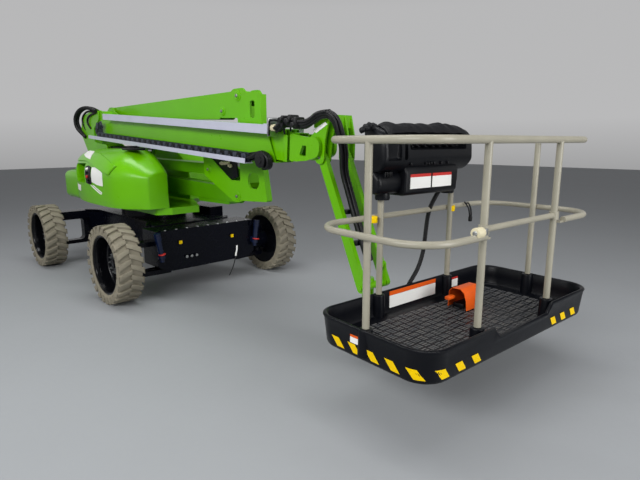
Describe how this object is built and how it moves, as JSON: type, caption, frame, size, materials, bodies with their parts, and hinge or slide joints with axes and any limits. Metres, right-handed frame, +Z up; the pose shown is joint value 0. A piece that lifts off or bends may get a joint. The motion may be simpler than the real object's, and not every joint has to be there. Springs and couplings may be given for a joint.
{
  "type": "articulating boom lift",
  "caption": "Self-propelled articulating boom lift with green riser and telescopic boom, jib, railed cage, black chassis and solid lugged tyres",
  "frame": {"origin": "on the floor under the middle of the stowed machine's overall box", "axes": "+X forward from the counterweight to the cage, +Y to the machine's left, +Z up"},
  "size_m": [6.5109, 2.254, 2.11],
  "materials": {
    "tyre_rubber": "matte",
    "rim_black": "gloss",
    "chassis_black": "gloss",
    "lockout_blue": "gloss",
    "green": "gloss",
    "chrome": "polished",
    "cylinder_black": "satin",
    "tray_grey": "satin",
    "chain_plastic": "matte",
    "rail_beige": "satin",
    "black_plastic": "matte"
  },
  "bodies": {
    "chassis": {"chassis_frame": "chassis_black", "front_axle": "chassis_black", "rear_axle": "chassis_black", "lockout_left": "lockout_blue", "lockout_right": "lockout_blue"},
    "wheel_front_left": {"tyre_front_left": "tyre_rubber", "rim_front_left": "rim_black"},
    "wheel_front_right": {"tyre_front_right": "tyre_rubber", "rim_front_right": "rim_black"},
    "wheel_rear_left": {"tyre_rear_left": "tyre_rubber", "rim_rear_left": "rim_black"},
    "wheel_rear_right": {"tyre_rear_right": "tyre_rubber", "rim_rear_right": "rim_black"},
    "hub_left": {"knuckle_left": "chassis_black"},
    "hub_right": {"knuckle_right": "chassis_black"},
    "steering": {"steer_rod": "chrome"},
    "turret": {"turret_base": "green", "counterweight": "green", "canopy_left": "green", "canopy_right": "green"},
    "lower_arm": {"lower_arm": "green"},
    "lower_link": {"lower_link": "green"},
    "front_knuckle": {"front_knuckle": "green"},
    "upper_arm": {"upper_arm": "green"},
    "upper_link": {"upper_link": "green"},
    "rear_knuckle": {"rear_knuckle": "green"},
    "riser_barrel": {"riser_barrel": "cylinder_black"},
    "riser_rod": {"riser_rod": "chrome"},
    "boom_barrel": {"boom_barrel": "cylinder_black"},
    "boom_rod": {"boom_rod": "chrome"},
    "boom_outer": {"boom_outer": "green", "lower_tray": "tray_grey", "energy_chain": "chain_plastic"},
    "boom_mid": {"boom_mid": "green"},
    "boom_inner": {"boom_inner": "green", "upper_tray": "tray_grey"},
    "jib_knuckle": {"jib_knuckle": "green"},
    "jib_arms": {"jib_arms": "green"},
    "jib_tie": {"jib_tie": "green"},
    "cage_carrier": {"cage_carrier": "green"},
    "cage": {"cage_mount": "cylinder_black", "cage_tray": "black_plastic", "cage_rails": "rail_beige", "console": "black_plastic"},
    "gate": {"gate_bar": "rail_beige"}
  },
  "joints": [
    {"name": "wheel_front_left", "type": "hinge", "parent": "hub_left", "child": "wheel_front_left", "pos_m": [-0.6225, 0.998, 0.405], "axis": [0, 1, 0], "continuous": true},
    {"name": "wheel_front_right", "type": "hinge", "parent": "hub_right", "child": "wheel_front_right", "pos_m": [-0.6225, -0.998, 0.405], "axis": [0, 1, 0], "continuous": true},
    {"name": "wheel_rear_left", "type": "hinge", "parent": "chassis", "child": "wheel_rear_left", "pos_m": [-2.8505, 0.998, 0.405], "axis": [0, 1, 0], "continuous": true},
    {"name": "wheel_rear_right", "type": "hinge", "parent": "chassis", "child": "wheel_rear_right", "pos_m": [-2.8505, -0.998, 0.405], "axis": [0, 1, 0], "continuous": true},
    {"name": "steer_left", "type": "hinge", "parent": "chassis", "child": "hub_left", "pos_m": [-0.6225, 0.8, 0.405], "axis": [0, 0, 1], "range_deg": [-30, 30]},
    {"name": "steer_right", "type": "hinge", "parent": "chassis", "child": "hub_right", "pos_m": [-0.6225, -0.8, 0.405], "axis": [0, 0, 1], "range_deg": [-30, 30]},
    {"name": "steer_rod", "type": "slide", "parent": "chassis", "child": "steering", "axis": [0, 1, 0], "range_m": [-0.0851, 0.0851]},
    {"name": "slew", "type": "hinge", "parent": "chassis", "child": "turret", "pos_m": [-1.7365, 0, 0.868], "axis": [0, 0, 1], "range_deg": [-177.5, 177.5]},
    {"name": "riser_lift", "type": "hinge", "parent": "turret", "child": "lower_arm", "pos_m": [-2.4865, -0.055, 1.16], "axis": [0, -1, 0], "range_deg": [0, 70]},
    {"name": "lower_link_turn", "type": "hinge", "parent": "turret", "child": "lower_link", "pos_m": [-2.9845, -0.055, 1.399], "axis": [0, -1, 0], "range_deg": [0, 70]},
    {"name": "front_knuckle_turn", "type": "hinge", "parent": "lower_arm", "child": "front_knuckle", "pos_m": [0.4025, -0.055, 1.112], "axis": [0, -1, 0], "range_deg": [-70, 0]},
    {"name": "upper_arm_turn", "type": "hinge", "parent": "front_knuckle", "child": "upper_arm", "pos_m": [0.4505, -0.055, 2.044], "axis": [0, -1, 0], "range_deg": [-70, 0]},
    {"name": "upper_link_turn", "type": "hinge", "parent": "front_knuckle", "child": "upper_link", "pos_m": [0.1955, -0.055, 1.916], "axis": [0, -1, 0], "range_deg": [-70, 0]},
    {"name": "rear_knuckle_turn", "type": "hinge", "parent": "upper_arm", "child": "rear_knuckle", "pos_m": [-2.4365, -0.055, 2.012], "axis": [0, -1, 0], "range_deg": [0, 70]},
    {"name": "riser_barrel_turn", "type": "hinge", "parent": "turret", "child": "riser_barrel", "pos_m": [-2.1565, -0.055, 1.01], "axis": [0, -1, 0], "range_deg": [0, 76.98]},
    {"name": "riser_rod_slide", "type": "slide", "parent": "riser_barrel", "child": "riser_rod", "axis": [0.9982, 0, 0.0604], "range_m": [0, 0.35623]},
    {"name": "boom_lift", "type": "hinge", "parent": "rear_knuckle", "child": "boom_outer", "pos_m": [-2.3465, -0.295, 1.968], "axis": [0, -1, 0], "range_deg": [0, 72]},
    {"name": "boom_barrel_turn", "type": "hinge", "parent": "rear_knuckle", "child": "boom_barrel", "pos_m": [-2.1365, -0.295, 1.53], "axis": [0, -1, 0], "range_deg": [0, 69.42]},
    {"name": "boom_rod_slide", "type": "slide", "parent": "boom_barrel", "child": "boom_rod", "axis": [1, 0, 0], "range_m": [0, 0.60957]},
    {"name": "boom_extend", "type": "slide", "parent": "boom_outer", "child": "boom_mid", "axis": [0.9979, 0, -0.0645], "range_m": [0, 3]},
    {"name": "boom_inner_slide", "type": "slide", "parent": "boom_mid", "child": "boom_inner", "axis": [0.9979, 0, -0.0645], "range_m": [0, 3]},
    {"name": "jib_knuckle_turn", "type": "hinge", "parent": "boom_inner", "child": "jib_knuckle", "pos_m": [1.6785, -0.295, 1.598], "axis": [0, -1, 0], "range_deg": [-72, 0]},
    {"name": "jib_lift", "type": "hinge", "parent": "jib_knuckle", "child": "jib_arms", "pos_m": [1.7185, -0.185, 1.511], "axis": [0, -1, 0], "range_deg": [0, 125]},
    {"name": "jib_tie_turn", "type": "hinge", "parent": "jib_knuckle", "child": "jib_tie", "pos_m": [1.7185, -0.121, 1.651], "axis": [0, -1, 0], "range_deg": [0, 125]},
    {"name": "cage_carrier_turn", "type": "hinge", "parent": "jib_arms", "child": "cage_carrier", "pos_m": [2.11924, -0.185, 0.58935], "axis": [0, -1, 0], "range_deg": [-125, 0]},
    {"name": "cage_rotate", "type": "hinge", "parent": "cage_carrier", "child": "cage", "pos_m": [2.0635, -0.185, 0.4], "axis": [0, 0, 1], "range_deg": [-85.5, 94.5]},
    {"name": "gate_lift", "type": "slide", "parent": "cage", "child": "gate", "axis": [0, 0, 1], "range_m": [0, 0.38]}
  ],
  "couplings": [
    {"joint": "steer_right", "follows": "steer_left", "ratio": 1},
    {"joint": "steer_rod", "follows": "steer_left", "m_per_rad": -0.1623},
    {"joint": "lower_link_turn", "follows": "riser_lift", "ratio": 1},
    {"joint": "front_knuckle_turn", "follows": "riser_lift", "ratio": -1},
    {"joint": "upper_arm_turn", "follows": "riser_lift", "ratio": -1},
    {"joint": "upper_link_turn", "follows": "riser_lift", "ratio": -1},
    {"joint": "rear_knuckle_turn", "follows": "riser_lift", "ratio": 1},
    {"joint": "riser_barrel_turn", "follows": "riser_lift", "ratio": 1.0995},
    {"joint": "riser_rod_slide", "follows": "riser_lift", "m_per_rad": 0.2915},
    {"joint": "boom_barrel_turn", "follows": "boom_lift", "ratio": 0.964},
    {"joint": "boom_rod_slide", "follows": "boom_lift", "m_per_rad": 0.485},
    {"joint": "boom_inner_slide", "follows": "boom_extend", "ratio": 1},
    {"joint": "jib_knuckle_turn", "follows": "boom_lift", "ratio": -1},
    {"joint": "jib_tie_turn", "follows": "jib_lift", "ratio": 1},
    {"joint": "cage_carrier_turn", "follows": "jib_lift", "ratio": -1}
  ]
}
